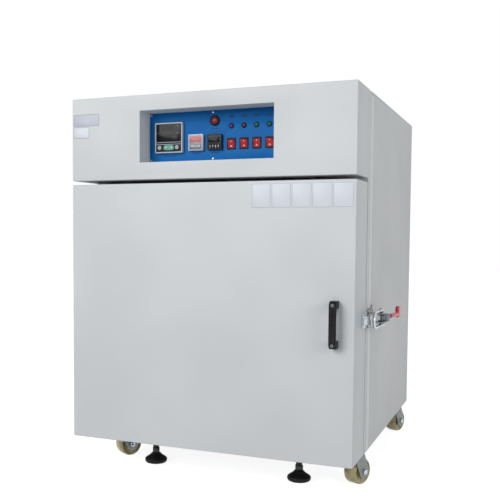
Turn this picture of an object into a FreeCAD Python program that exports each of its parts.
import FreeCAD, Part
import math
import os

# Box furnace on casters. Millimetres, X to the right, Y to the rear, Z up.
# Every shape is drawn about the cabinet's own middle, with Y from the door's
# front face and Z from the floor. save() then moves it, so that the origin
# lies on the floor under the middle of the whole part.

Vec = FreeCAD.Vector
UP = Vec(0, 0, 1)
RIGHT = Vec(1, 0, 0)
BACK = Vec(0, 1, 0)
FRONT = Vec(0, -1, 0)

# Cabinet
cabinet_width = 893.0
cabinet_depth = 977.0
cabinet_height = 1168.0
ground_gap = 110.0
sheet = 1.5
bend_radius = 2.5
frame_sheet = 2.0
frame_strip = 28.0
frame_drop = 3.0
groove_length = 41.0
groove_inset = 4.0
flange_width = 18.0
lid_flange = 10.0
pan_upstand = 28.0

# Door
door_depth = 146.0
door_bend = 2.5
seal_gap = 7.0
seal_width = 30.0
seal_offset = 35.0
seal_inner_corner = 11.5
seal_rest_gap = 0.3
plug_depth = 55.0
plug_gap = 6.0
plug_taper = 10.0

# Control head
head_height = 252.5
head_gap = 11.5
window_width = 422.0
window_height = 154.0
window_middle_below_top = 124.0
recess_depth = 69.0
panel_thickness = 2.0
recess_flange = 14.0
cable_window_border = 20.0
cut_out_gap = 0.1

# Chamber
chamber_width = 500.0
chamber_height = 450.0
chamber_depth = 550.0
chamber_middle_above_door_middle = 2.0
lining_thickness = 60.0
collar_depth = 60.0
mouth_border = 25.0
hearth_thickness = 12.0
hearth_margin = 50.0
hearth_front_gap = 10.0
hearth_rear_gap = 20.0
hearth_corner = 12.0
wool_rear_gap = 4.0
bay_floor_drop = 1.0

# Heating rods, hung from the roof along both side walls
rods_per_side = 5
rod_pitch = 110.0
rod_wall_gap = 20.0
rod_hot_radius = 8.0
rod_cold_radius = 11.0
rod_floor_gap = 20.0
rod_terminal_height = 45.0
rod_neck = 12.0
rod_end = 3.0
rod_hole_gap = 2.0
rod_collar_radius = 18.0
rod_collar_height = 14.0
clamp_radius = 16.0
clamp_height = 14.0
strap_width = 20.0
strap_thickness = 2.0
strap_eye_radius = 15.0

# Door handle
handle_from_right = 53.8
handle_height = 507.0
handle_length = 131.0
handle_width = 20.0
handle_standoff = 38.0
handle_bar = 10.0
handle_foot = 21.0
handle_slope = 13.0
handle_rounding = 2.5
handle_ridges = 4
handle_ridge_depth = 0.7
handle_ridge_width = 1.6
screw_hole_radius = 4.6
screw_head_radius = 4.2
screw_shank_radius = 2.5
screw_seat_depth = 12.0
screw_head_height = 5.0
screw_socket_radius = 2.4

# Side hinges
hinge_above_door_bottom = 150.0
hinge_below_door_top = 152.0
hinge_out = 14.0
hinge_barrel_radius = 8.0
hinge_pin_radius = 5.0
hinge_pin_drop = 2.0
hinge_height = 80.0
hinge_leaf_width = 23.0
hinge_leaf_thickness = 2.5
hinge_leaf_setback = 4.0

# Side latch
latch_height = 509.0
latch_pivot_out = 38.0
latch_pivot_back = 205.0
latch_lean = 9.0
latch_pin_radius = 5.0
latch_plate = (65.0, 56.0, 3.0)
latch_pin_side_gap = 0.5
latch_cheek_thickness = 3.0
latch_cheek_radius = 9.0
latch_cheek_foot = (26.0, 30.0)
latch_pin_end = 2.0
latch_tab = (14.0, 8.0)
lever_plate_thickness = 3.0
lever_web = (-4.0, 22.0)
lever_neck_end = 70.0
lever_tang = (8.0, 4.0)
lever_tang_end = 150.0
lever_front = -11.0
lever_crest = 11.0
lever_heel_drop = 7.0
trunnion_reach = 20.0
trunnion_drop = 9.0
trunnion_radius = 4.0
trunnion_block = 14.0
trunnion_block_height = 9.0
hook_radius = 4.0
hook_half_span = 21.0
hook_bow_front = 108.0
hook_tail = 18.0
nut_radius = 7.0
nut_thickness = 5.0
grip_front_length = 66.0
grip_front_height = 13.0
grip_rear_length = 24.0
grip_rear_height = 36.0
grip_rear_corner = 9.0
grip_rear_drop = 4.5
grip_thickness = 12.0
grip_front_thickness = 10.0
grip_rounding = 4.5
grip_blend = 4.0
keeper_plate = (45.0, 42.0, 3.0)
keeper_front = 92.0
keeper_lip_width = 26.0
rest_gap = 0.3

# Casters
caster_side_inset = 52.0
caster_front = 192.0
caster_rear_inset = 80.0
caster_trail = 42.0
wheel_radius = 40.0
wheel_width = 44.0
wheel_hub_radius = 12.0
wheel_hub_width = 50.0
wheel_web_depth = 6.0
wheel_rim = 9.0
wheel_crown = 5.0
axle_radius = 6.0
axle_head_radius = 9.0
axle_head_height = 5.0
fork_plate = 2.5
fork_foot_radius = 22.0
fork_crown_radius = 33.0
fork_crown_height = 3.0
fork_crown_drop = 12.0
fork_blade_front = 9.0
fork_blade_rear = 40.0
fork_front_lean = 40.0
fork_rear_lean = 20.0
fork_hub_gap = 0.3
king_pin_radius = 6.0
king_pin_end = 2.0
caster_plate_size = (60.0, 80.0, 3.0)
caster_plate_corner = 6.0
race_radius = 20.0
caster_headings = {"front_right": -25.0, "front_left": -34.0, "rear_right": -20.0, "rear_left": -27.0}

# Levelling feet
foot_half_spacing = 244.0
foot_back = 182.0
foot_pad_radius = 36.5
foot_pad_height = 31.0
foot_neck_radius = 12.5
foot_neck_height = 18.0
foot_stem_radius = 10.0
foot_stem_low = 4.0
foot_stem_top = 136.0
foot_rise = 20.0
foot_well_gap = 2.0
# Insets of the pad's bell from its radius, each with its share of the height
foot_bell = ((9.0, 0.0), (4.0, 0.05), (1.0, 0.16), (0.0, 0.3), (1.0, 0.42), (5.0, 0.54), (12.0, 0.7),
             (18.0, 0.84), (22.0, 1.0))
foot_boss_radius = 15.0

# Panel instruments, from the middle of the window
controller_at = (-142.0, 0.0)
controller_size = 91.0
controller_body = 86.0
controller_front = 12.0
controller_length = 92.0
controller_pocket = 84.0
controller_pocket_depth = 1.5
key_offsets = (-31.0, -9.0, 9.0, 27.0)
key_below = 29.0
key_radius = 6.0
key_rise = 1.3
key_length = 4.5
key_travel = 0.8
key_rounding = 0.6
counter_at = (-53.7, -17.0)
counter_size = 49.0
counter_body = 45.0
counter_front = 9.0
counter_length = 50.0
timer_at = (7.0, -17.7)
timer_size = 46.0
timer_body = 44.0
timer_front = 10.0
timer_length = 70.0
timer_wheels = 4
timer_wheel_pitch = 9.0
timer_wheel_width = 8.6
timer_wheel_radius = 9.0
timer_wheel_rise = 1.0
timer_wheel_below = 13.0
timer_wheel_faces = 10
timer_shaft_radius = 1.5
timer_pocket_gap = 0.6
instrument_rounding = 2.0
alarm_at = (5.4, 45.9)
alarm_radius = 15.5
lamps = 4
lamp_at = (58.2, 27.8)
lamp_pitch = 39.2
lamp_radius = 8.0
lamp_body_share = 0.75
lamp_seat_share = 0.6
lamp_body_length = 14.0
lamp_rise = 7.0
rockers = 4
rocker_at = (57.8, -24.3)
rocker_pitch = 39.8
rocker_bezel = (25.0, 31.0)
rocker_opening = (20.0, 26.0)
rocker_wall = 1.0
rocker_depth = 23.0
rocker_pocket = 11.0
rocker_tilt = 8.0
rocker_rise = 4.4
rocker_body_depth = 8.0
rocker_end_gap = 1.0
rocker_side_gap = 0.2
rocker_pin_radius = 1.5
rocker_pin_reach = 0.8
rocker_pivot_back = 1.0
rocker_bezel_rise = 2.0

# Rear fittings
vent_below_roof = 45.0
vent_radius = 21.0
vent_wall = 1.5
vent_stub = 40.0
vent_flange_radius = 36.0
probe_right = 90.0
probe_below_roof = 135.0
probe_radius = 5.0
probe_reach = 60.0
probe_head_radius = 18.0
probe_head_length = 30.0
gland_right = -330.0
gland_above_bay = 70.5
gland_radius = 13.0
gland_bore = 6.0
gland_thread = 10.0
gland_flats = 16.25
gland_collar = 6.0
gland_nut = 5.0
gland_dome = 6.0
gland_length = 22.0
gland_inside = 10.0
rear_plate_thickness = 3.0
louvre_columns = (-190.0, 190.0)
louvres_per_column = 6
louvre_pitch = 26.0
louvre_above_bay = 60.5
louvre_length = 220.0
louvre_height = 12.0
louvre_depth = 7.0

# Electrical bay
heat_sink_size = (120.0, 90.0, 55.0)
heat_sink_fins = 9
heat_sink_base = 8.0
fin_thickness = 3.0
relay_size = (58.0, 45.0, 23.0)
relay_gap = 8.0
relay_corner = 2.0
heat_sink_at = (-150.0, 560.0)
rail_length = 240.0
rail_start = (-85.0, 560.0)
rail_end_margin = 10.0
rail_width = 35.0
rail_height = 7.5
rail_sheet = 1.0
rail_lip = 4.0
contactor_size = (45.0, 75.0, 80.0)
contactors = 2
contactor_pitch = 52.0
contactor_cap = (45.0, 32.0)
terminal_size = (90.0, 42.0, 40.0)
terminal_ways = 6
terminal_wall = 3.0
terminal_ridge = 16.0
terminal_step = 22.0

# Fits
running_gap = 0.05
key_gap = 0.1
hole_gap = 0.3

# Worked out from the sizes above
half_width = cabinet_width / 2
door_bottom = ground_gap
head_bottom = cabinet_height - head_height
door_top = head_bottom - head_gap
frame_front = door_depth + seal_gap
frame_back = frame_front + frame_strip
panel_front = frame_back + groove_length
window_z = cabinet_height - window_middle_below_top
panel_y = recess_depth
chamber_z = (door_bottom + door_top) / 2 + chamber_middle_above_door_middle
chamber_low = chamber_z - chamber_height / 2
chamber_high = chamber_z + chamber_height / 2
chamber_front = frame_front + frame_sheet + collar_depth
chamber_back = chamber_front + chamber_depth
lining_half = chamber_width / 2 + lining_thickness
lining_low = chamber_low - lining_thickness
lining_high = chamber_high + lining_thickness
lining_back = chamber_back + lining_thickness
rear_inside = cabinet_depth - sheet
bay_floor = head_bottom - bay_floor_drop
bay_surface = bay_floor + sheet
vent_z = chamber_high - vent_below_roof
probe_z = chamber_high - probe_below_roof
gland_z = bay_floor + gland_above_bay
louvre_lowest = bay_floor + louvre_above_bay
hinge_heights = (door_bottom + hinge_above_door_bottom, door_top - hinge_below_door_top)
inside_half = half_width - groove_inset - frame_sheet
hinge_x = -half_width - hinge_out
hinge_y = door_depth + seal_gap / 2
latch_face = half_width
latch_cheek_inner = (hook_half_span - trunnion_block_height / 2 - latch_pin_side_gap - latch_pin_end
                     - latch_cheek_thickness)
fork_inner = wheel_hub_width / 2 + fork_hub_gap
handle_x = half_width - handle_from_right
rod_x = chamber_width / 2 - rod_wall_gap - rod_hot_radius
rod_first = (chamber_front + chamber_back - (rods_per_side - 1) * rod_pitch) / 2
rod_top = bay_surface + rod_terminal_height
lever_length = lever_neck_end + grip_front_length + grip_rear_length - grip_blend
latch_reach = (latch_pivot_out + lever_length * math.sin(math.radians(latch_lean))
               + grip_thickness / 2 * math.cos(math.radians(latch_lean)))
hinge_reach = hinge_out + hinge_barrel_radius
origin = Vec((latch_reach - hinge_reach) / 2, (cabinet_depth + vent_stub - handle_standoff) / 2, 0)


def box(x, y, z):
    """A block between two limits along each axis."""
    low = Vec(min(x), min(y), min(z))
    return Part.makeBox(max(x) - low.x, max(y) - low.y, max(z) - low.z, low)


def around(middle, size):
    """The two limits of a length about its middle."""
    return (middle - size / 2, middle + size / 2)


def rod(start, direction, radius, length):
    """A round bar from a point along a direction."""
    return Part.makeCylinder(radius, length, start, direction)


def prism(points, travel):
    """A straight extrusion of a closed outline."""
    outline = Part.makePolygon(list(points) + [points[0]])
    return Part.Face(outline).extrude(travel)


def turned(profile, place, direction):
    """A solid of revolution from (radius, length) points, set along a direction."""
    points = [Vec(r, 0, t) for r, t in profile]
    shape = Part.Face(Part.makePolygon(points + [points[0]])).revolve(Vec(0, 0, 0), UP, 360)
    shape.Placement = FreeCAD.Placement(place, FreeCAD.Rotation(UP, direction))
    return shape


def rounded(shape, radius, along, keep=lambda middle: True):
    """Round the edges that run along a direction and pass a test of their middle."""
    edges = []
    for edge in shape.Edges:
        ends = [vertex.Point for vertex in edge.Vertexes]
        if len(ends) < 2:
            continue
        run = ends[1] - ends[0]
        if run.Length > 0 and abs(run.normalize().dot(along)) > 0.999 and keep(edge.CenterOfMass):
            edges.append(edge)
    return shape.makeFillet(radius, edges)


def fused(shapes):
    """One solid from pieces that meet."""
    return shapes[0].fuse(list(shapes[1:])).removeSplitter()


def spun(shape, centre, axis, angle):
    """The shape turned about a line."""
    turned_shape = shape.copy()
    turned_shape.rotate(centre, axis, angle)
    return turned_shape


def save(name, *pieces):
    """Write the solids of one node, moved to the part's origin."""
    solids = []
    for piece in pieces:
        solids.extend(piece.Solids)
    shape = Part.makeCompound(solids)
    shape.translate(origin * -1)
    shape.exportStep(os.path.join("parts", name + ".step"))


def save_one(name, piece):
    """Write a node that is one solid."""
    shape = piece.Solids[0].copy()
    shape.translate(origin * -1)
    shape.exportStep(os.path.join("parts", name + ".step"))


def crosswise(y, x, z):
    """A closed rectangle across the depth, for a loft."""
    corners = [Vec(x[0], y, z[0]), Vec(x[1], y, z[0]), Vec(x[1], y, z[1]), Vec(x[0], y, z[1])]
    return Part.makePolygon(corners + [corners[0]])


def tray(x, y, z, wall, open_side, radius):
    """A folded box of sheet, open on one side, with rounded bends on the far side."""
    outer = box(x, y, z)
    inner_x = (min(x) + wall, max(x) - wall)
    inner_y = (min(y) + wall, max(y) - wall)
    inner_z = (min(z) + wall, max(z) - wall)
    if open_side == "back":
        inner_y = (min(y) + wall, max(y) + wall)
        closed = lambda m: m.y < min(y) + 0.01
        outer = rounded(rounded(outer, radius, UP, closed), radius, RIGHT, closed)
        inner = rounded(box(inner_x, inner_y, inner_z), radius - wall, UP,
                        lambda m: m.y < min(inner_y) + 0.01)
    else:
        inner_z = (min(z) - wall, max(z) - wall)
        closed = lambda m: m.z > max(z) - 0.01
        outer = rounded(outer, radius, BACK, closed)
        inner = rounded(box(inner_x, inner_y, inner_z), radius - wall, BACK,
                        lambda m: m.z > max(inner_z) - 0.01)
    return outer.cut(inner)


def rod_places():
    """Where the heating rods hang."""
    places = []
    for side in (-1, 1):
        for index in range(rods_per_side):
            places.append((side * rod_x, rod_first + index * rod_pitch))
    return places


def base_pan():
    """The folded pan under the cabinet, with the threaded bosses of the feet."""
    x = (-inside_half, inside_half)
    y = (frame_front + frame_sheet, rear_inside - sheet)
    z = (ground_gap, ground_gap + frame_sheet + pan_upstand)
    pan = box(x, y, z)
    pan = pan.cut(box((x[0] + frame_sheet, x[1] - frame_sheet), (y[0] + frame_sheet, y[1] - frame_sheet),
                      (ground_gap + frame_sheet, z[1] + 1)))
    for side in (-1, 1):
        foot = Vec(side * foot_half_spacing, foot_back, ground_gap)
        pan = pan.fuse(rod(foot, UP, foot_boss_radius, z[1] - ground_gap))
        pan = pan.cut(rod(foot, UP, foot_stem_radius + running_gap, z[1] - ground_gap))
    return pan.removeSplitter()


def side_panel(side):
    """A side cover with a rounded front bend and a screwed rear flange."""
    x_out = side * half_width
    x_in = side * (half_width - sheet)
    z = (ground_gap, cabinet_height - lid_flange)
    wall = box((x_out, x_in), (panel_front + bend_radius, rear_inside), z)
    centre = Vec(side * (half_width - bend_radius), panel_front + bend_radius, z[0])
    bend = rod(centre, UP, bend_radius, z[1] - z[0]).cut(rod(centre, UP, bend_radius - sheet, z[1] - z[0]))
    corner = box((centre.x, x_out), (panel_front, centre.y), z)
    flange = box((x_out, side * (half_width - flange_width)), (rear_inside - sheet, rear_inside), z)
    return fused([wall, bend.common(corner), flange])


def top_panel():
    """The lid: a shallow folded tray, upside down."""
    return tray((-half_width, half_width), (frame_back, cabinet_depth),
                (cabinet_height - lid_flange, cabinet_height), sheet, "bottom", bend_radius)


def louvre(x, z):
    """One pressed vent: a scoop whose mouth looks down."""
    back = cabinet_depth
    out = back + louvre_depth
    bend = back + louvre_depth * 0.72
    scoop = [Vec(0, back - sheet, z), Vec(0, out, z), Vec(0, bend, z + louvre_height * 0.55),
             Vec(0, back, z + louvre_height)]
    hollow = [Vec(0, back - sheet, z), Vec(0, out - sheet, z), Vec(0, bend - sheet, z + louvre_height * 0.5),
              Vec(0, back - sheet, z + louvre_height - sheet)]
    start = Vec(x - louvre_length / 2, 0, 0)
    end = Vec(sheet, 0, 0)
    outer = prism([point + start for point in scoop], Vec(louvre_length, 0, 0))
    inner = prism([point + start + end for point in hollow], Vec(louvre_length - 2 * sheet, 0, 0))
    return outer, inner


def rear_panel():
    """The rear cover with its louvres and the holes of the rear fittings."""
    panel = box((-half_width, half_width), (rear_inside, cabinet_depth),
                (ground_gap, cabinet_height - lid_flange))
    for x in louvre_columns:
        for row in range(louvres_per_column):
            outer, inner = louvre(x, louvre_lowest + row * louvre_pitch)
            panel = panel.fuse(outer).cut(inner)
    for x, z, radius in ((0, vent_z, vent_radius), (probe_right, probe_z, probe_radius),
                         (gland_right, gland_z, gland_thread)):
        panel = panel.cut(rod(Vec(x, rear_inside, z), BACK, radius + hole_gap, sheet))
    return panel.removeSplitter()


def front_frame():
    """The folded ring round the mouth, with a cable window behind the control head."""
    z = (ground_gap, cabinet_height - frame_drop)
    inner = half_width - groove_inset
    face = box((-half_width, half_width), (frame_front, frame_front + frame_sheet), z)
    strips = []
    for side in (-1, 1):
        out = side * half_width
        strips.append(box((out, out - side * frame_sheet), (frame_front, frame_back), z))
        strips.append(box((out, side * (inner - frame_sheet)), (frame_back - frame_sheet, frame_back), z))
        strips.append(box((side * inner, side * (inner - frame_sheet)), (frame_back, panel_front + sheet),
                          (z[0], cabinet_height - lid_flange)))
    cover = box((-half_width, half_width), (frame_front, frame_back), (z[1] - frame_sheet, z[1]))
    ring = fused([face, cover] + strips)
    wall = (frame_front, frame_front + frame_sheet)
    mouth = box(around(0, chamber_width + 2 * mouth_border), wall,
                (chamber_low - mouth_border, chamber_high + mouth_border))
    return ring.cut(mouth).cut(window_block(-cable_window_border, wall))


def head_shell():
    """The control housing above the door, with its window."""
    shell = tray((-half_width, half_width), (0, frame_front), (head_bottom, cabinet_height),
                 sheet, "back", bend_radius)
    return shell.cut(window_block(0, (0, sheet)))


def window_block(border, y):
    """A block as large as the window plus a border, between two depths."""
    return box(around(0, window_width + 2 * border), y, around(window_z, window_height + 2 * border))


def recess_frame():
    """The tube of sheet behind the window, which carries the control panel."""
    back = panel_y + panel_thickness + sheet
    outer = window_block(sheet, (sheet, back))
    rim = window_block(recess_flange, (sheet, 2 * sheet))
    well = window_block(0, (0, panel_y + panel_thickness))
    hole = window_block(-recess_flange, (0, back))
    return outer.fuse(rim).cut(well).cut(hole).removeSplitter()


def panel_place(at):
    """A point on the control panel's front face, from the middle of the window."""
    return Vec(at[0], panel_y, window_z + at[1])


def on_panel(at, size, y):
    """A block centred on a place of the panel, between two depths from its face."""
    centre = panel_place(at)
    return box(around(centre.x, size[0]), (panel_y + y[0], panel_y + y[1]), around(centre.z, size[1]))


def control_panel():
    """The coloured plate with the cut-outs of its instruments."""
    plate = window_block(-cut_out_gap, (panel_y, panel_y + panel_thickness))
    cut_outs = [(controller_at, (controller_body, controller_body)),
                (counter_at, (counter_body, counter_body)), (timer_at, (timer_body, timer_body))]
    for at in rocker_places():
        cut_outs.append((at, (rocker_opening[0] + 2 * rocker_wall, rocker_opening[1] + 2 * rocker_wall)))
    for at, size in cut_outs:
        grown = (size[0] + 2 * cut_out_gap, size[1] + 2 * cut_out_gap)
        plate = plate.cut(on_panel(at, grown, (0, panel_thickness)))
    for at, radius in signal_places():
        hole = rod(panel_place(at), BACK, radius * lamp_body_share + cut_out_gap, panel_thickness)
        plate = plate.cut(hole)
    return plate


def rocker_places():
    """The middles of the rocker switches."""
    return [(rocker_at[0] + index * rocker_pitch, rocker_at[1]) for index in range(rockers)]


def signal_places():
    """The middles and radii of the alarm lamp and the indicator lamps."""
    places = [(alarm_at, alarm_radius)]
    for index in range(lamps):
        places.append(((lamp_at[0] + index * lamp_pitch, lamp_at[1]), lamp_radius))
    return places


def instrument(at, size, body, front, length):
    """A panel instrument: a rounded bezel in front of the panel and a body behind it."""
    bezel = rounded(on_panel(at, (size, size), (-front, 0)), instrument_rounding, BACK)
    bezel = bezel.fuse(on_panel(at, (body, body), (-1, length - front)))
    return bezel.removeSplitter()


def controller_case():
    """The temperature controller, with the pocket of its display and the wells of its keys."""
    case = instrument(controller_at, controller_size, controller_body, controller_front, controller_length)
    pocket = on_panel(controller_at, (controller_pocket, controller_pocket),
                      (-controller_front - 1, controller_pocket_depth - controller_front))
    case = case.cut(pocket)
    for offset in key_offsets:
        case = case.cut(rod(key_place(offset), BACK, key_radius + key_gap,
                            key_length + key_travel + running_gap))
    return case


def key_place(offset):
    """The middle of a key's front face."""
    return panel_place((controller_at[0] + offset, controller_at[1] - key_below)) + Vec(
        0, controller_pocket_depth - controller_front - key_rise, 0)


def controller_key(offset):
    """One round push key with a softened front edge."""
    soft = key_rounding
    return turned([(0, 0), (key_radius - soft, 0), (key_radius, soft), (key_radius, key_length),
                   (0, key_length)], key_place(offset), BACK)


def hour_counter():
    """The running-time counter."""
    return instrument(counter_at, counter_size, counter_body, counter_front, counter_length)


def timer_wheel_place(index):
    """The middle of a thumbwheel."""
    across = (index - (timer_wheels - 1) / 2) * timer_wheel_pitch
    centre = panel_place((timer_at[0] + across, timer_at[1] - timer_wheel_below))
    return centre + Vec(0, timer_wheel_radius - timer_front - timer_wheel_rise, 0)


def timer_case():
    """The preset timer, with the well of its thumbwheels and their shaft."""
    case = instrument(timer_at, timer_size, timer_body, timer_front, timer_length)
    well_length = timer_wheels * timer_wheel_pitch + timer_pocket_gap
    middle = (timer_wheel_place(0) + timer_wheel_place(timer_wheels - 1)) * 0.5
    start = middle - Vec(well_length / 2, 0, 0)
    case = case.cut(rod(start, RIGHT, timer_wheel_radius + timer_pocket_gap, well_length))
    return case, rod(start, RIGHT, timer_shaft_radius, well_length)


def timer_wheel(index):
    """One thumbwheel: a drum with a flat for each digit."""
    centre = timer_wheel_place(index)
    start = centre - Vec(timer_wheel_width / 2, 0, 0)
    corners = []
    for face in range(timer_wheel_faces):
        angle = 2 * math.pi * (face + 0.5) / timer_wheel_faces
        corners.append(start + Vec(0, math.cos(angle), math.sin(angle)) * timer_wheel_radius)
    drum = prism(corners, Vec(timer_wheel_width, 0, 0))
    return drum.cut(rod(start, RIGHT, timer_shaft_radius + running_gap, timer_wheel_width))


def signal_lamp(at, radius):
    """A round lamp: a collar against the panel and a domed lens in it."""
    body = radius * lamp_body_share
    seat = radius * lamp_seat_share
    collar = turned([(radius * 0.9, -3), (radius, -2), (radius, 0), (body, 0), (body, lamp_body_length),
                     (seat, lamp_body_length), (seat, 0)], panel_place(at), BACK)
    lens = turned([(0, 10), (seat, 10), (seat, 0), (radius * 0.84, -3), (radius * 0.68, -5),
                   (radius * 0.38, -6.4), (0, -lamp_rise)], panel_place(at), BACK)
    return collar.cut(lens), lens


def rocker_frame(at):
    """The bezel and body of one rocker switch."""
    size = (rocker_opening[0] + 2 * rocker_wall, rocker_opening[1] + 2 * rocker_wall)
    frame = rounded(on_panel(at, rocker_bezel, (-rocker_bezel_rise, 0)), instrument_rounding, BACK)
    frame = frame.fuse(on_panel(at, size, (-1, rocker_depth)))
    frame = frame.cut(on_panel(at, rocker_opening, (-rocker_bezel_rise - 1, rocker_pocket)))
    length = rocker_opening[0] + 2 * rocker_pin_reach
    start = rocker_pivot(at) - Vec(length / 2, 0, 0)
    return frame.cut(rod(start, RIGHT, rocker_pin_radius + running_gap, length)).removeSplitter()


def rocker_pivot(at):
    """The middle of a rocker's pin."""
    return panel_place(at) + Vec(0, rocker_pivot_back, 0)


def rocker(at):
    """One rocker: two faces that meet in a shallow valley, on a pin, tipped to off."""
    pivot = rocker_pivot(at)
    width = rocker_opening[0] - 2 * rocker_side_gap
    tall = rocker_opening[1] / 2 - rocker_end_gap
    top = -rocker_rise
    low = rocker_body_depth
    outline = [(top, tall), (top / 2, 0), (top, -tall), (low / 2, 2 - tall), (low, -4), (low, 4),
               (low / 2, tall - 2)]
    start = pivot - Vec(width / 2, 0, 0)
    body = prism([start + Vec(0, y, z) for y, z in outline], Vec(width, 0, 0))
    reach = rocker_opening[0] + 2 * rocker_pin_reach - 2 * running_gap
    pin = rod(pivot - Vec(reach / 2, 0, 0), RIGHT, rocker_pin_radius, reach)
    return spun(body.fuse(pin).removeSplitter(), pivot, RIGHT, rocker_tilt)


def chamber_lining():
    """The hard boards round the chamber and the bricks of its mouth."""
    pieces = []
    half = chamber_width / 2
    for y in ((frame_front + frame_sheet, chamber_front), (chamber_front, chamber_back)):
        pieces.append(box((-lining_half, -half), y, (chamber_low, chamber_high)))
        pieces.append(box((half, lining_half), y, (chamber_low, chamber_high)))
        pieces.append(box((-lining_half, lining_half), y, (lining_low, chamber_low)))
        pieces.append(box((-lining_half, lining_half), y, (chamber_high, lining_high)))
    roof = cut_rod_holes(pieces.pop(), chamber_high, lining_thickness)
    rear = box((-lining_half, lining_half), (chamber_back, lining_back), (lining_low, lining_high))
    return pieces + [roof, cut_rear_holes(rear)]


def cut_rod_holes(shape, low, thickness):
    """Clear the heating rods through a roof."""
    for x, y in rod_places():
        shape = shape.cut(rod(Vec(x, y, low), UP, rod_cold_radius + rod_hole_gap, thickness))
    return shape


def cut_rear_holes(shape):
    """Clear the vent tube and the probe through a rear wall."""
    length = cabinet_depth - chamber_back
    for x, z, radius in ((0, vent_z, vent_radius), (probe_right, probe_z, probe_radius)):
        shape = shape.cut(rod(Vec(x, chamber_back, z), BACK, radius + hole_gap, length))
    return shape


def outer_insulation():
    """The wool slabs between the hard lining and the casing."""
    y = (frame_front + frame_sheet, lining_back)
    low = ground_gap + frame_sheet + pan_upstand
    left = box((-inside_half, -lining_half), y, (lining_low, lining_high))
    right = box((lining_half, inside_half), y, (lining_low, lining_high))
    floor = cut_foot_wells(box((-inside_half, inside_half), y, (low, lining_low)), low)
    roof = box((-inside_half, inside_half), y, (lining_high, bay_floor))
    roof = cut_rod_holes(roof, lining_high, bay_floor - lining_high)
    rear = box((-inside_half, inside_half), (lining_back, rear_inside - wool_rear_gap), (low, bay_floor))
    return [left, right, floor, roof, cut_rear_holes(rear)]


def cut_foot_wells(shape, low):
    """Clear the stems of the feet, screwed right up."""
    height = foot_stem_top + foot_rise + foot_well_gap - low
    for side in (-1, 1):
        foot = Vec(side * foot_half_spacing, foot_back, low)
        shape = shape.cut(rod(foot, UP, foot_stem_radius + foot_well_gap, height))
    return shape


def bay_floor_plate():
    """The sheet floor of the electrical bay, pierced for the heating rods."""
    plate = box((-inside_half, inside_half), (frame_front + frame_sheet, rear_inside - sheet),
                (bay_floor, bay_surface))
    return cut_rod_holes(plate, bay_floor, sheet)


def heating_rod(x, y):
    """One heating rod: a thin hot length under a thick cold end."""
    low = chamber_low + rod_floor_gap
    return turned([(0, low), (rod_hot_radius - 2, low), (rod_hot_radius, low + 2),
                   (rod_hot_radius, chamber_high - rod_neck), (rod_cold_radius, chamber_high),
                   (rod_cold_radius, rod_top), (0, rod_top)], Vec(x, y, 0), UP)


def rod_collar(x, y):
    """The ceramic collar that carries a rod on the bay floor."""
    inner = rod_cold_radius + running_gap
    return turned([(inner, 0), (rod_collar_radius, 0), (rod_collar_radius, rod_collar_height - 4),
                   (rod_collar_radius - 4, rod_collar_height), (inner, rod_collar_height)],
                  Vec(x, y, bay_surface), UP)


def rod_clamp(x, y):
    """The terminal clamp at the top of a rod."""
    z = rod_top - clamp_height - rod_end
    ring = rod(Vec(x, y, z), UP, clamp_radius, clamp_height)
    return ring.cut(rod(Vec(x, y, z), UP, rod_cold_radius, clamp_height))


def power_strap(x, y):
    """The flat strap from one clamp to the next."""
    z = rod_top - clamp_height - rod_end - strap_thickness
    pieces = [box(around(x, strap_width), (y, y + rod_pitch), (z, z + strap_thickness))]
    for step in (0, rod_pitch):
        pieces.append(rod(Vec(x, y + step, z), UP, strap_eye_radius, strap_thickness))
    strap = fused(pieces)
    for step in (0, rod_pitch):
        strap = strap.cut(rod(Vec(x, y + step, z), UP, rod_cold_radius + running_gap, strap_thickness))
    return strap


def rod_terminals():
    """The collars, clamps and straps of all the rods."""
    pieces = []
    for x, y in rod_places():
        pieces.append(rod_collar(x, y))
        pieces.append(rod_clamp(x, y))
    for side in (-1, 1):
        for index in range(0, rods_per_side - 1, 2):
            pieces.append(power_strap(side * rod_x, rod_first + index * rod_pitch))
    return pieces


def hearth_plate():
    """The loose plate that the work stands on."""
    plate = box(around(0, chamber_width - 2 * hearth_margin),
                (chamber_front + hearth_front_gap, chamber_back - hearth_rear_gap),
                (chamber_low, chamber_low + hearth_thickness))
    return rounded(plate, hearth_corner, UP)


def vent_tube():
    """The vent from the chamber, with a flange on the rear cover and a spigot."""
    inner = vent_radius - vent_wall
    seat = cabinet_depth - chamber_back
    flange = seat + rear_plate_thickness
    length = seat + vent_stub
    return turned([(inner, 0), (vent_radius, 0), (vent_radius, seat), (vent_flange_radius, seat),
                   (vent_flange_radius, flange), (vent_radius, flange), (vent_radius, length),
                   (inner, length)],
                  Vec(0, chamber_back, vent_z), BACK)


def thermocouple():
    """The temperature probe, with its head behind the rear cover."""
    start = chamber_back - probe_reach
    seat = cabinet_depth - start
    flange = probe_head_radius + 6
    neck = probe_head_radius - 6
    head = seat + rear_plate_thickness
    end = head + probe_head_length
    return turned([(0, 0), (probe_radius - 2, 0), (probe_radius, 2), (probe_radius, seat), (flange, seat),
                   (flange, head), (neck, head), (neck, head + 6), (probe_head_radius, head + 8),
                   (probe_head_radius, end - 3), (probe_head_radius - 3, end), (0, end)],
                  Vec(probe_right, start, probe_z), BACK)


def hexagon(radius, place, direction, length):
    """A hexagonal bar."""
    corners = []
    for index in range(6):
        angle = math.pi / 3 * index
        corners.append(Vec(radius * math.cos(angle), radius * math.sin(angle), 0))
    bar = prism(corners, Vec(0, 0, length))
    bar.Placement = FreeCAD.Placement(place, FreeCAD.Rotation(UP, direction))
    return bar


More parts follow.
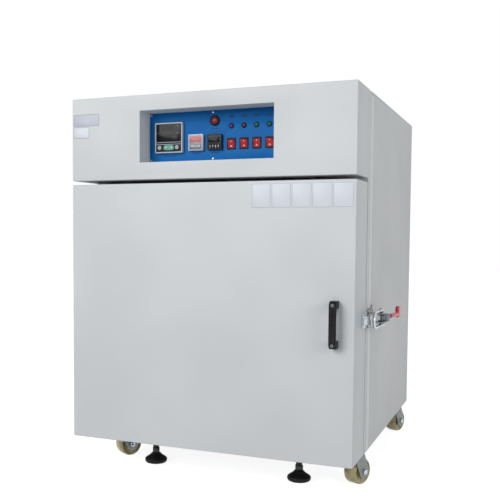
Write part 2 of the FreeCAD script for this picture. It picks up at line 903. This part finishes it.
def cable_gland():
    """The mains cable's entry: a hexagonal body and a domed nut with a through bore."""
    place = Vec(gland_right, cabinet_depth, gland_z)
    body = turned([(gland_bore, -gland_inside), (gland_thread, -gland_inside), (gland_thread, gland_collar),
                   (gland_radius, gland_collar), (gland_radius, gland_length - gland_dome),
                   (gland_radius - 4, gland_length), (gland_bore, gland_length)], place, BACK)
    collar = hexagon(gland_flats, place, BACK, gland_collar)
    collar = collar.cut(rod(place, BACK, gland_thread - 1, gland_collar))
    inside = place - Vec(0, sheet + gland_nut, 0)
    lock_nut = hexagon(gland_flats, inside, BACK, gland_nut)
    return fused([body, collar]), lock_nut.cut(rod(inside, BACK, gland_thread, gland_nut))


def door_skin():
    """The folded outer shell of the door, open to the rear."""
    return tray((-half_width, half_width), (0, door_depth), (door_bottom, door_top), sheet, "back",
                door_bend)


def door_liner():
    """The inner sheet that closes the door's shell."""
    return box((-half_width + sheet, half_width - sheet), (door_depth - sheet, door_depth),
               (door_bottom + sheet, door_top - sheet))


def door_refractory():
    """The wool block in the door and the tapered plug that enters the mouth."""
    wool = box(around(0, cabinet_width - 4 * door_bend), (sheet, door_depth - sheet),
               (door_bottom + 2 * door_bend, door_top - 2 * door_bend))
    sections = []
    for y, gap in ((door_depth, plug_gap), (door_depth + plug_depth, plug_gap + plug_taper)):
        half = chamber_width / 2 - gap
        sections.append(crosswise(y, (-half, half), (chamber_low + gap, chamber_high - gap)))
    return wool, Part.makeLoft(sections, True, True)


def door_seal():
    """The soft rope seal on the door's rear face."""
    inner = chamber_width / 2 + seal_offset
    outer = inner + seal_width
    rise = seal_offset + seal_width
    y = (door_depth, frame_front - seal_rest_gap)
    ring = rounded(box((-outer, outer), y, (chamber_low - rise, chamber_high + rise)), seal_width, BACK)
    hole = box((-inner, inner), y, (chamber_low - seal_offset, chamber_high + seal_offset))
    return ring.cut(rounded(hole, seal_inner_corner, BACK))


def door_handle():
    """The bridge handle: a ridged bar on two sloped feet with screw wells."""
    half = handle_length / 2
    out = -handle_standoff
    gap = out + handle_bar
    foot = half - handle_foot
    outer = [(0, half), (out + handle_slope, half), (out, half - handle_slope)]
    inner = [(1, foot), (gap + handle_slope / 2, foot), (gap, foot - handle_slope / 2)]
    start = Vec(handle_x - handle_width / 2, 0, handle_height)
    body = prism(mirrored(outer, start), Vec(handle_width, 0, 0))
    body = rounded(body, handle_rounding, UP, lambda m: m.y < out + 0.01)
    body = body.cut(prism(mirrored(inner, start), Vec(handle_width, 0, 0)))
    spacing = handle_width / (handle_ridges + 1)
    for index in range(handle_ridges):
        x = start.x + spacing * (index + 1)
        body = body.cut(box(around(x, handle_ridge_width), (out - 1, out + handle_ridge_depth),
                            around(handle_height, handle_length - 2 * handle_foot)))
    for place in handle_screw_places():
        well = handle_standoff - screw_seat_depth
        body = body.cut(rod(Vec(place.x, out, place.z), BACK, screw_hole_radius, well))
        body = body.cut(rod(place, BACK, screw_shank_radius + running_gap, screw_seat_depth))
    return body


def mirrored(half_outline, start):
    """A closed outline from (y, z) points and their mirror image below the start."""
    below = [(y, -z) for y, z in reversed(half_outline)]
    return [start + Vec(0, y, z) for y, z in half_outline + below]


def handle_screw_places():
    """The seats of the handle's screws, at the bottom of their wells."""
    reach = handle_length / 2 - handle_foot / 2
    return [Vec(handle_x, -screw_seat_depth, handle_height + side * reach) for side in (-1, 1)]


def handle_screw(place):
    """A cap screw with a hexagonal socket, from its seat towards the door."""
    top = place + Vec(0, -screw_head_height, 0)
    head = rod(top, BACK, screw_head_radius, screw_head_height)
    head = head.cut(hexagon(screw_socket_radius, top, BACK, screw_head_height / 2))
    return head.fuse(rod(place, BACK, screw_shank_radius, screw_seat_depth)).removeSplitter()


def hinge_leaf(z, y, barrel):
    """A leaf on the left side, with the half of the barrel that it carries."""
    face = -half_width
    near = hinge_y - hinge_leaf_thickness if y[1] < hinge_y else hinge_y
    arm_y = (near, near + hinge_leaf_thickness)
    sheet_x = (face, face - hinge_leaf_thickness)
    leaf = box(sheet_x, y, (z, z + hinge_height))
    arm = box((face, hinge_x), arm_y, barrel)
    bridge = box(sheet_x, (min(y + arm_y), max(y + arm_y)), barrel)
    knuckle = rod(Vec(hinge_x, hinge_y, barrel[0]), UP, hinge_barrel_radius, barrel[1] - barrel[0])
    return fused([leaf, bridge, arm, knuckle])


def hinge_cabinet():
    """The cabinet's hinge leaves, each with its lower barrel and its pin."""
    pieces = []
    y = (frame_front + hinge_leaf_setback, frame_front + hinge_leaf_setback + hinge_leaf_width)
    for middle in hinge_heights:
        z = middle - hinge_height / 2
        leaf = hinge_leaf(z, y, (z, middle))
        centre = Vec(hinge_x, hinge_y, z)
        pieces.append(leaf.cut(rod(centre, UP, hinge_pin_radius, hinge_height)))
        pieces.append(rod(centre, UP, hinge_pin_radius, hinge_height - hinge_pin_drop))
    return pieces


def hinge_door():
    """The door's hinge leaves, each with its upper barrel."""
    pieces = []
    y = (door_depth - hinge_leaf_setback - hinge_leaf_width, door_depth - hinge_leaf_setback)
    for middle in hinge_heights:
        z = middle - hinge_height / 2
        leaf = hinge_leaf(z, y, (middle + rest_gap, z + hinge_height))
        bore = rod(Vec(hinge_x, hinge_y, z), UP, hinge_pin_radius + running_gap, hinge_height)
        pieces.append(leaf.cut(bore))
    return pieces


def latch_pivot():
    """The middle of the lever's pin."""
    return Vec(latch_face + latch_pivot_out, latch_pivot_back, latch_height)


def leaned(shape):
    """Turn a piece of the lever outwards to its closed position."""
    return spun(shape, latch_pivot(), UP, -latch_lean)


def trunnion_place():
    """The middle of the hook's cross pin in the closed lever."""
    angle = math.radians(latch_lean)
    out = -trunnion_drop * math.cos(angle) + trunnion_reach * math.sin(angle)
    back = trunnion_reach * math.cos(angle) + trunnion_drop * math.sin(angle)
    return latch_pivot() + Vec(out, back, 0)


def latch_base():
    """The base plate on the side panel, with two cheeks, a tab and the lever's pin."""
    pivot = latch_pivot()
    length, tall, thick = latch_plate
    x = (latch_face, latch_face + thick)
    plate = box(x, (pivot.y - length / 2, pivot.y + length / 2), around(latch_height, tall))
    tab = box(x, (pivot.y + length / 2 - latch_tab[0], pivot.y + length / 2),
              (latch_height, latch_height + tall / 2 + latch_tab[1]))
    pieces = [plate, tab]
    for side in (-1, 1):
        z = latch_height + side * latch_cheek_inner
        foot = [Vec(x[1] - 1, pivot.y - latch_cheek_foot[0], z),
                Vec(x[1] - 1, pivot.y + latch_cheek_foot[1], z),
                Vec(pivot.x, pivot.y + latch_cheek_radius, z), Vec(pivot.x, pivot.y - latch_cheek_radius, z)]
        pieces.append(prism(foot, Vec(0, 0, side * latch_cheek_thickness)))
        pieces.append(rod(Vec(pivot.x, pivot.y, z), UP * side, latch_cheek_radius, latch_cheek_thickness))
    reach = latch_cheek_inner + latch_cheek_thickness + latch_pin_end
    pin = rod(pivot - Vec(0, 0, reach), UP, latch_pin_radius, 2 * reach)
    return fused(pieces).cut(pin), pin


def latch_lever():
    """The folded lever: two plates on the pin, a neck that narrows and a tang."""
    pivot = latch_pivot()
    inner = latch_cheek_inner - rest_gap - lever_plate_thickness
    half = inner + lever_plate_thickness
    heel = -trunnion_drop - lever_heel_drop
    outline = [(lever_front, -9), (lever_front, 8), (lever_front + 5, lever_crest), (30, lever_crest),
               (38, 4), (38, -6), (28, heel), (12, heel)]
    pieces = []
    for side in (-1, 1):
        points = [pivot + Vec(out, back, side * inner) for back, out in outline]
        pieces.append(prism(points, Vec(0, 0, side * lever_plate_thickness)))
    web = (pivot.y + lever_web[0], pivot.y + lever_web[1])
    crest = pivot.x + lever_crest
    pieces.append(box((crest - lever_plate_thickness, crest), web, around(latch_height, 2 * half)))
    stations = ((18, half, 1, lever_crest), (46, half * 0.75, -3, 6),
                (lever_neck_end, lever_tang[0] / 2, -3, 3))
    sections = []
    for back, tall, low, high in stations:
        across = (pivot.x + low, pivot.x + high)
        sections.append(crosswise(pivot.y + back, across, around(latch_height, 2 * tall)))
    pieces.append(Part.makeLoft(sections, True, True))
    tang = (pivot.y + lever_neck_end - 1, pivot.y + lever_tang_end)
    pieces.append(box(around(pivot.x, lever_tang[1]), tang, around(latch_height, lever_tang[0])))
    lever = fused(pieces)
    trunnion = pivot + Vec(-trunnion_drop, trunnion_reach, 0)
    for place, radius in ((pivot, latch_pin_radius), (trunnion, trunnion_radius)):
        hole = rod(place - Vec(0, 0, half + 1), UP, radius + running_gap, 2 * half + 2)
        lever = lever.cut(hole)
    return leaned(lever)


def latch_grip():
    """The moulded grip: a slim front lobe that runs into a taller rear lobe."""
    pivot = latch_pivot()
    start = pivot.y + lever_neck_end
    low = latch_height - grip_front_height / 2
    front = box(around(pivot.x, grip_front_thickness), (start, start + grip_front_length + grip_rounding),
                (low, low + grip_front_height))
    front = rounded(front, min(grip_front_height, grip_front_thickness) / 2 - 0.5, BACK)
    rear_y = (start + grip_front_length - grip_blend, pivot.y + lever_length)
    rear_low = low - grip_rear_drop
    rear = box(around(pivot.x, grip_thickness), rear_y, (rear_low, rear_low + grip_rear_height))
    rear = rounded(rear, grip_rear_corner, RIGHT)
    flank = grip_thickness / 2
    rims = [edge for edge in rear.Edges if abs(abs(edge.CenterOfMass.x - pivot.x) - flank) < 0.01]
    rear = rear.makeFillet(grip_rounding, rims)
    tang = box(around(pivot.x, lever_tang[1]), (start - 1, pivot.y + lever_tang_end),
               around(latch_height, lever_tang[0]))
    return leaned(front.fuse(rear).cut(tang))


def latch_hook():
    """The U-shaped draw rod, its cross pin with two drilled ends, and its four nuts."""
    centre = trunnion_place()
    bow_y = hook_bow_front + hook_half_span
    tail = centre.y + hook_tail
    bow_end = Vec(centre.x, bow_y, latch_height + hook_half_span)
    circle = Part.Wire(Part.makeCircle(hook_radius, bow_end, BACK))
    hook = [Part.Face(circle).revolve(Vec(centre.x, bow_y, latch_height), RIGHT, 180)]
    cross = [rod(centre - Vec(0, 0, hook_half_span), UP, trunnion_radius, 2 * hook_half_span)]
    nuts = []
    half = trunnion_block / 2
    for side in (-1, 1):
        z = latch_height + side * hook_half_span
        leg = rod(Vec(centre.x, bow_y, z), BACK, hook_radius, tail - bow_y)
        hook.append(leg)
        block = box(around(centre.x, trunnion_block), around(centre.y, trunnion_block),
                    around(z, trunnion_block_height))
        cross.append(block)
        for y in (centre.y - half - nut_thickness, centre.y + half):
            nuts.append(hexagon(nut_radius, Vec(centre.x, y, z), BACK, nut_thickness).cut(leg))
    hook = fused(hook)
    return [hook, fused(cross).cut(hook)] + nuts


def latch_keeper():
    """The keeper on the door's side: a plate with a lip that curls forwards."""
    length, tall, thick = keeper_plate
    face = latch_face
    top = trunnion_place().x - hook_radius - rest_gap - face
    plate = box((face, face + thick), (keeper_front, keeper_front + length), around(latch_height, tall))
    outline = [(thick - 1, 12), (thick - 1, 3), (top - 7.5, 3), (top - 4, -4), (top, -4), (top, -1),
               (top - 3.5, 8)]
    low = latch_height - keeper_lip_width / 2
    points = [Vec(face + out, hook_bow_front + back, low) for out, back in outline]
    return fused([plate, prism(points, Vec(0, 0, keeper_lip_width))])


def caster_places():
    """The swivel axis of each caster."""
    side = half_width - caster_side_inset
    rear = cabinet_depth - caster_rear_inset
    return {"front_right": (side, caster_front), "front_left": (-side, caster_front),
            "rear_right": (side, rear), "rear_left": (-side, rear)}


def caster_plate(place):
    """A caster's top plate with its upper race and king pin."""
    x, y = place
    wide, long, thick = caster_plate_size
    under = ground_gap - thick
    plate = rounded(box(around(x, wide), around(y, long), (under, ground_gap)), caster_plate_corner, UP)
    crown = ground_gap - fork_crown_drop
    end = crown - fork_crown_height - king_pin_end
    race = turned([(0, under), (race_radius, under), (race_radius - 3, crown + rest_gap),
                   (king_pin_radius, crown + rest_gap), (king_pin_radius, end), (0, end)], Vec(x, y, 0), UP)
    return fused([plate, race])


def placed_caster(shape, name):
    """Turn a caster's piece to its heading and set it on its swivel axis."""
    x, y = caster_places()[name]
    piece = spun(shape, Vec(0, 0, 0), UP, caster_headings[name])
    piece.translate(Vec(x, y, 0))
    return piece


def caster_fork(name):
    """A swivel fork with teardrop plates, and the axle bolt through them."""
    crown = ground_gap - fork_crown_drop
    low = crown - fork_crown_height
    ahead = math.radians(fork_front_lean)
    behind = math.radians(fork_rear_lean)
    front = Vec(0, -math.cos(ahead), -math.sin(ahead)) * fork_foot_radius
    rear = Vec(0, math.cos(behind), math.sin(behind)) * fork_foot_radius
    plates = []
    for side in (-1, 1):
        hub = Vec(side * fork_inner, caster_trail, wheel_radius)
        blade = [Vec(hub.x, -fork_blade_front, crown), Vec(hub.x, fork_blade_rear, crown), hub + rear,
                 hub + front]
        plates.append(prism(blade, Vec(side * fork_plate, 0, 0)))
        plates.append(rod(hub, RIGHT * side, fork_foot_radius, fork_plate))
    width = fork_inner + fork_plate
    plate = rod(Vec(0, 0, low), UP, fork_crown_radius, fork_crown_height)
    plate = plate.common(box((-width, width), around(0, 2 * fork_crown_radius), (low, crown)))
    fork = fused([plate] + plates)
    fork = fork.cut(rod(Vec(0, 0, 0), UP, king_pin_radius + running_gap, ground_gap))
    start = Vec(-width, caster_trail, wheel_radius)
    fork = fork.cut(rod(start, RIGHT, axle_radius, 2 * width))
    axle = rod(start, RIGHT, axle_radius, 2 * width)
    head = hexagon(axle_head_radius, start + Vec(2 * width, 0, 0), RIGHT, axle_head_height)
    nut = hexagon(axle_head_radius, start - Vec(axle_head_height, 0, 0), RIGHT, axle_head_height)
    return placed_caster(fork, name), placed_caster(fused([axle, head, nut]), name)


def caster_wheel(name):
    """A wheel with a crowned tread, dished sides and a plain hub."""
    half = wheel_width / 2
    hub = wheel_hub_width / 2
    bore = axle_radius + running_gap
    rim = wheel_radius - wheel_rim
    web = half - wheel_web_depth
    right = [(bore, hub), (wheel_hub_radius, hub), (wheel_hub_radius + 1, web), (rim, web), (rim + 2, half),
             (wheel_radius - wheel_crown, half), (wheel_radius - 1.5, half - 3), (wheel_radius, half - 8)]
    left = [(r, -t) for r, t in reversed(right)]
    wheel = turned(right + left, Vec(0, caster_trail, wheel_radius), RIGHT)
    return placed_caster(wheel, name)


def levelling_foot(side):
    """A bell-shaped pad with its neck, and the threaded stem in it."""
    place = Vec(side * foot_half_spacing, foot_back, 0)
    neck_top = foot_pad_height + foot_neck_height
    bell = [(foot_pad_radius - inset, share * foot_pad_height) for inset, share in foot_bell]
    pad = turned([(foot_stem_radius, foot_stem_low), (foot_stem_radius, 0)] + bell
                 + [(foot_neck_radius, foot_pad_height + 1), (foot_neck_radius, neck_top),
                    (foot_stem_radius, neck_top)], place, UP)
    stem = rod(place + Vec(0, 0, foot_stem_low), UP, foot_stem_radius, foot_stem_top - foot_stem_low)
    return pad, stem


def heat_sink():
    """The finned heat sink with the relay on its flank."""
    length, wide, tall = heat_sink_size
    x = around(heat_sink_at[0], wide)
    y = around(heat_sink_at[1], length)
    base = box(x, y, (bay_surface, bay_surface + heat_sink_base))
    spacing = (wide - fin_thickness) / (heat_sink_fins - 1)
    fins = []
    for index in range(heat_sink_fins):
        at = x[0] + index * spacing
        fins.append(box((at, at + fin_thickness), (y[0], heat_sink_at[1] - relay_gap / 4),
                        (bay_surface, bay_surface + tall)))
    sink = fused([base] + fins)
    seat = bay_surface + heat_sink_base
    front = heat_sink_at[1] + relay_gap
    relay = box(around(heat_sink_at[0], relay_size[0]), (front, front + relay_size[1]),
                (seat, seat + relay_size[2]))
    return sink, rounded(relay, relay_corner, UP)


def switchgear():
    """The mounting rail with its contactors and the terminal block."""
    start, y0 = rail_start
    low = bay_surface
    flank = rail_width / 2
    web = flank - rail_lip
    inner = web - rail_sheet
    profile = [(-flank, rail_height), (-flank, rail_height - rail_sheet), (-web, rail_height - rail_sheet),
               (-web, 0), (web, 0), (web, rail_height - rail_sheet), (flank, rail_height - rail_sheet),
               (flank, rail_height), (inner, rail_height), (inner, rail_sheet), (-inner, rail_sheet),
               (-inner, rail_height)]
    rail = prism([Vec(start, y0 + y, low + z) for y, z in profile], Vec(rail_length, 0, 0))
    seat = low + rail_height
    pieces = [rail]
    wide, deep, tall = contactor_size
    shoulder = seat + tall - contactor_cap[1]
    for index in range(contactors):
        x = start + rail_end_margin + wide / 2 + index * contactor_pitch
        lower = box(around(x, wide), around(y0, deep), (seat, shoulder))
        upper = box(around(x, wide), around(y0, contactor_cap[0]), (shoulder, seat + tall))
        pieces.append(rounded(fused([lower, upper]), 1.5, UP))
    pieces.append(terminal_block(start + rail_end_margin + contactors * contactor_pitch, y0, seat))
    return pieces


def terminal_block(start, y0, seat):
    """The terminal block, with a stepped well for each wire on both sides."""
    wide, deep, tall = terminal_size
    block = box((start, start + wide), around(y0, deep), (seat, seat + tall))
    way = wide / terminal_ways
    for index in range(terminal_ways):
        x = around(start + (index + 0.5) * way, way - terminal_wall)
        for side in (-1, 1):
            y = (y0 + side * terminal_ridge / 2, y0 + side * deep)
            block = block.cut(box(x, y, (seat + terminal_step, seat + tall + 1)))
    return block


def build():
    """Write every node."""
    os.makedirs("parts", exist_ok=True)
    save_one("base_pan", base_pan())
    save_one("side_panel_left", side_panel(-1))
    save_one("side_panel_right", side_panel(1))
    save_one("top_panel", top_panel())
    save_one("rear_panel", rear_panel())
    save_one("front_frame", front_frame())
    save_one("head_shell", head_shell())
    save_one("recess_frame", recess_frame())
    save_one("control_panel", control_panel())
    save_one("controller_case", controller_case())
    save_one("hour_counter", hour_counter())
    save("timer_case", *timer_case())
    lamps_and_collars = []
    for at, radius in signal_places():
        lamps_and_collars.extend(signal_lamp(at, radius))
    save("signal_lamps", *lamps_and_collars)
    save("rocker_frames", *[rocker_frame(at) for at in rocker_places()])
    for index, at in enumerate(rocker_places()):
        save_one("rocker_%d" % (index + 1), rocker(at))
    for index, offset in enumerate(key_offsets):
        save_one("controller_key_%d" % (index + 1), controller_key(offset))
    for index in range(timer_wheels):
        save_one("timer_wheel_%d" % (index + 1), timer_wheel(index))

    save("chamber_lining", *chamber_lining())
    save("outer_insulation", *outer_insulation())
    save_one("bay_floor", bay_floor_plate())
    save("heating_rods", *[heating_rod(x, y) for x, y in rod_places()])
    save("rod_terminals", *rod_terminals())
    save_one("hearth_plate", hearth_plate())
    save_one("vent_tube", vent_tube())
    save_one("thermocouple", thermocouple())
    save("cable_gland", *cable_gland())
    save("bay_equipment", *heat_sink(), *switchgear())

    save_one("door_skin", door_skin())
    save_one("door_liner", door_liner())
    save("door_refractory", *door_refractory())
    save_one("door_seal", door_seal())
    save_one("door_handle", door_handle())
    save("handle_screws", *[handle_screw(place) for place in handle_screw_places()])
    save("hinge_cabinet", *hinge_cabinet())
    save("hinge_door", *hinge_door())

    save("latch_base", *latch_base())
    save_one("latch_lever", latch_lever())
    save_one("latch_grip", latch_grip())
    save("latch_hook", *latch_hook())
    save_one("latch_keeper", latch_keeper())

    save("caster_plates", *[caster_plate(place) for place in caster_places().values()])
    for name in caster_places():
        save("caster_fork_" + name, *caster_fork(name))
        save_one("caster_wheel_" + name, caster_wheel(name))
    save("levelling_foot_left", *levelling_foot(-1))
    save("levelling_foot_right", *levelling_foot(1))


build()
